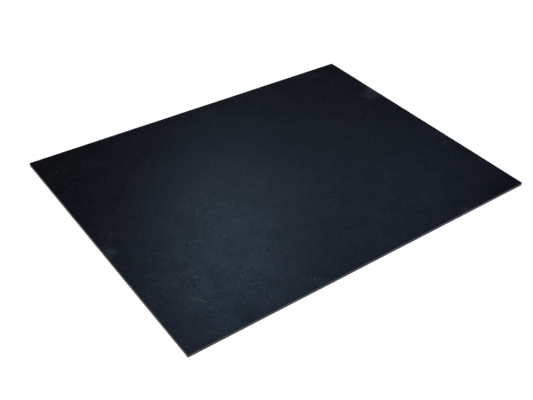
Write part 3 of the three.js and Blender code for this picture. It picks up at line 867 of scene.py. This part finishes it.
# ---- wiring ----
LEAD_RADIUS = 0.7 * MM
LEAD_BORE = 0.42 * MM
BEND_RADIUS, BEND_POINTS = 5 * MM, 25
BARE_END = 3.7 * MM  # conductor past the insulation, at each end of a lead
STRAND_RADIUS = 0.13 * MM
OUTER_STRANDS = 6
STRAND_RING = 0.265 * MM  # from the conductor's middle to the middle of each outer strand
STRAND_LAY = 8 * MM  # one turn of the outer strands
FERRULE_BORE = 0.45 * MM
SMALL_ROUNDING = 0.08 * MM  # of the ends of tubes, sleeves and tails
LUG_ROUNDING, INLET_ROUNDING = 0.05 * MM, 0.10 * MM
PROFILE_STEP = 0.3 * MM
ROUTE_STEP = 0.8 * MM
TUBE_SIDES, STRAND_SIDES = 24, 6
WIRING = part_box("splice_front")
WIRING_X = (WIRING[0].x + WIRING[1].x) / 2
WIRING_Z = (WIRING[0].z + WIRING[1].z) / 2
FERRULE_RADIUS = (WIRING[1].z - WIRING[0].z) / 2


def route_of(corners, radius, step):
    """Evenly spaced points along straight runs in plan, with a quarter circle at a middle corner.

    Returns the points, and how far along the route each one is.
    """
    points = [np.array(corners[0], float)]
    for before, corner, after in zip(corners, corners[1:], corners[2:]):
        here = np.array(corner, float)
        to_before = (np.array(before) - here) / np.linalg.norm(np.array(before) - here)
        to_after = (np.array(after) - here) / np.linalg.norm(np.array(after) - here)
        centre = here + radius * (to_before + to_after)
        for angle in np.linspace(0, math.pi / 2, BEND_POINTS):
            points.append(centre - radius * (math.cos(angle) * to_after + math.sin(angle) * to_before))
    points.append(np.array(corners[-1], float))
    points = np.array(points)
    along = np.concatenate([[0], np.cumsum(np.hypot(*np.diff(points, axis=0).T))])
    spots = np.linspace(0, along[-1], math.ceil(along[-1] / step) + 1)
    plan = np.column_stack([np.interp(spots, along, points[:, k]) for k in (0, 1)])
    return np.column_stack([plan, np.full(len(plan), WIRING_Z)]), spots


def sides_of(route):
    """The sideways unit vector at each point of a level route."""
    heading = np.gradient(route[:, :2], axis=0)
    heading /= np.hypot(*heading.T)[:, None]
    return np.column_stack([-heading[:, 1], heading[:, 0], np.zeros(len(route))])


def tube_rings(route, radii, sides):
    """A ring of points round each point of a level route."""
    angles = np.linspace(0, 2 * math.pi, sides, endpoint=False)
    level = sides_of(route)
    up = np.array([0, 0, 1.0])
    return [
        point + radius * (np.cos(angles)[:, None] * across + np.sin(angles)[:, None] * up)
        for point, across, radius in zip(route, level, radii)
    ]


def add_insulation_tube(name, route, material):
    """A lead's insulation: a tube with softened ends."""
    outer = np.full(len(route), LEAD_RADIUS)
    outer[[0, -1]] -= SMALL_ROUNDING
    inner = np.full(len(route), LEAD_BORE)
    rings = tube_rings(route, outer, TUBE_SIDES) + tube_rings(route, inner, TUBE_SIDES)[::-1]
    points, faces = loft(rings, closed=True)
    return add_mesh(name, points, faces, material)


def add_strands(name, route, spots, material):
    """A lead's conductor: strands laid round a middle one."""
    across, up = sides_of(route), np.array([0, 0, 1.0])
    points, faces = [], []
    for strand in range(OUTER_STRANDS + 1):
        turn = 2 * math.pi * (spots / STRAND_LAY + strand / OUTER_STRANDS)
        ring = 0.0 if strand == OUTER_STRANDS else STRAND_RING
        path = route + ring * (np.cos(turn)[:, None] * across + np.sin(turn)[:, None] * up)
        rings = tube_rings(path, np.full(len(path), STRAND_RADIUS), STRAND_SIDES)
        made, skin = loft(rings, closed=False)
        faces += [[k + sum(map(len, points)) for k in face] for face in skin]
        points.append(made)
    return add_mesh(name, np.concatenate(points), faces, material)


def add_lead(node, corners, slot, materials):
    """A lead along corners, which run from one end of its bare conductor to the other."""
    route, spots = route_of(corners, BEND_RADIUS, ROUTE_STEP)
    covered = (spots >= BARE_END - WELD) & (spots <= spots[-1] - BARE_END + WELD)
    tube = add_insulation_tube(node + "_insulation", route[covered], materials[slot])
    strands = add_strands(node + "_strands", route, spots, materials["copper"])
    stand_for(tube, node)
    stand_for(strands, node)


def add_leads(materials):
    low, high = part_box("lead_cutout_to_front_bus")
    add_lead("lead_cutout_to_front_bus", [(WIRING_X, low.y), (WIRING_X, high.y)], "lead_red", materials)
    low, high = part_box("lead_inlet_to_cutout")
    turn = high.y - LEAD_RADIUS
    corners = [(high.x, turn), (WIRING_X, turn), (WIRING_X, low.y)]
    add_lead("lead_inlet_to_cutout", corners, "lead_red", materials)
    low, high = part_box("lead_inlet_to_back_bus")
    turn = low.y + LEAD_RADIUS
    corners = [(high.x, turn), (WIRING_X, turn), (WIRING_X, high.y)]
    add_lead("lead_inlet_to_back_bus", corners, "lead_black", materials)


def add_splice(node, materials):
    """A crimped sleeve, pressed in twice."""
    low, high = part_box(node)
    half = (high.y - low.y) / 2
    wall = [(FERRULE_BORE, -half), (FERRULE_RADIUS, -half), (FERRULE_RADIUS, half), (FERRULE_BORE, half)]
    profile = subdivided(softened(wall, SMALL_ROUNDING), PROFILE_STEP, closed=True)
    centre, tin = (low + high) / 2, materials["tinned_metal"]
    piece = turned(node + "_sleeve", profile, "Y", centre, tin, crimps=(-half / 2, half / 2))
    stand_for(piece, node)


BLADE_WIDTH, BLADE_THICKNESS = 2.2 * MM, 0.6 * MM
BLADE_TIP, BLADE_ROUNDING = 1.2 * MM, 0.06 * MM
TIP_NARROWING, TIP_THINNING = 0.30, 0.55  # shares of the width and of the thickness
BLADE_OVERLAP = 1 * MM  # how far the blade runs into its ferrule
FERRULE_LENGTH, FERRULE_DEPTH = 6 * MM, 4 * MM


def add_contact(node, materials):
    """A flat blade with a tapered tip, and behind it a crimped ferrule for the lead's conductor."""
    low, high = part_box(node)
    copper = materials["copper"]
    y = (low.y + high.y) / 2
    start = low.x + FERRULE_LENGTH - BLADE_OVERLAP
    xs = [start, high.x - BLADE_TIP, high.x - BLADE_TIP / 2, high.x]
    ys = y + np.linspace(-0.5, 0.5, 5) * BLADE_WIDTH
    points, faces = box_grid(xs, ys, WIRING_Z + np.linspace(-0.5, 0.5, 3) * BLADE_THICKNESS)
    tip = np.clip((points[:, 0] - xs[1]) / BLADE_TIP, 0, 1) ** 2
    points[:, 1] = y + (points[:, 1] - y) * (1 - TIP_NARROWING * tip)
    points[:, 2] = WIRING_Z + (points[:, 2] - WIRING_Z) * (1 - TIP_THINNING * tip)
    blade = rounded(add_mesh(node + "_blade", points, faces, copper), BLADE_ROUNDING, 2)

    corners = [
        (0, FERRULE_DEPTH), (FERRULE_BORE, FERRULE_DEPTH), (FERRULE_BORE, 0),
        (FERRULE_RADIUS, 0), (FERRULE_RADIUS, FERRULE_LENGTH), (0, FERRULE_LENGTH),
    ]
    profile = subdivided(softened(corners, SMALL_ROUNDING), PROFILE_STEP, closed=False)
    centre = (low.x, y, WIRING_Z)
    ferrule = turned(node + "_ferrule", profile, "X", centre, copper, crimps=(FERRULE_DEPTH / 2,))
    stand_for(evened(combine(blade, ferrule, "UNION")), node)


TAIL_LENGTH, TAIL_RADIUS = 6 * MM, 0.4 * MM
TAIL_ROOT = 1 * MM  # how far each tail runs into the cut-out's body
BODY_ROUNDING = 0.4 * MM
# The bead of cement: its radii, and how far each lies past the end of the body.
BEAD = ((0, 0.25 * MM), (0.55 * MM, 0.20 * MM), (0.75 * MM, -0.10 * MM))
BEAD_STEP = 0.5 * MM


def add_cutout(materials):
    """A ceramic body with a bead of cement round each tail."""
    node = "thermal_cutout"
    low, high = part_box(node)
    tails = Vector((0, TAIL_LENGTH, 0))
    block = plain_box(node + "_body", low + tails, high - tails, materials["ceramic"])
    body = rounded(block, BODY_ROUNDING, 5)
    centre = Vector((WIRING_X, (low.y + high.y) / 2, WIRING_Z))
    end = (high.y - low.y - 2 * TAIL_LENGTH) / 2
    bead = [(radius, -end - past) for radius, past in BEAD]
    bead += [(radius, -place) for radius, place in reversed(bead)]
    profile = subdivided(bead, BEAD_STEP, closed=False)
    beads = turned(node + "_beads", profile, "Y", centre, materials["ceramic"])
    stand_for(evened(combine(body, beads, "UNION")), node)
    for name, side in (("front", -1), ("back", 1)):
        root, tip = side * (end - TAIL_ROOT), side * (end + TAIL_LENGTH)
        profile = softened([(0, root), (TAIL_RADIUS, root), (TAIL_RADIUS, tip), (0, tip)], SMALL_ROUNDING)
        tail = turned(f"{node}_tail_{name}", profile, "Y", centre, materials["tinned_metal"], TUBE_SIDES)
        stand_for(tail, node)


RIVET_BORE, RIVET_SHANK = 0.6 * MM, 1.0 * MM  # radii
RIVET_HEAD_THICKNESS = 0.2 * MM
RIVET_ROUNDING = 0.09 * MM


def add_rivet(node, materials):
    """An eyelet with round-edged heads."""
    low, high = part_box(node)
    head, half = (high.x - low.x) / 2, (high.z - low.z) / 2
    neck = half - RIVET_HEAD_THICKNESS
    corners = [
        (RIVET_BORE, -half), (head, -half), (head, -neck), (RIVET_SHANK, -neck),
        (RIVET_SHANK, neck), (head, neck), (head, half), (RIVET_BORE, half),
    ]
    profile = softened(corners, RIVET_ROUNDING, 4)
    piece = turned(node + "_eyelet", profile, "Z", (low + high) / 2, materials["tinned_metal"], 48)
    stand_for(piece, node)


def add_wiring(materials):
    add_leads(materials)
    add_cutout(materials)
    for end in ("front", "back"):
        add_splice("splice_" + end, materials)
        add_rivet("rivet_" + end, materials)
        add_rounded_copy("lug_" + end, "_formed", "tinned_metal", LUG_ROUNDING, materials)
    for wire in ("supply", "return"):
        add_contact("contact_" + wire, materials)
    for half in ("base", "lid"):
        add_rounded_copy("inlet_" + half, "_moulding", "inlet_nylon", INLET_ROUNDING, materials)


def finish_cad_nodes(materials):
    """Gives every CAD node the procedural material of its slot."""
    slots = {part["node"]: part["material_slot"] for part in frame["record"]["subparts"]}
    for node, shown in frame["nodes"].items():
        shown.data.materials.clear()
        shown.data.materials.append(materials[slots[node]])


add_camera()
add_studio()
materials = make_materials()
finish_cad_nodes(materials)
add_rubber(materials)
add_insulation(materials)
add_wiring_bed(materials)
add_scrim(materials)
add_wiring(materials)
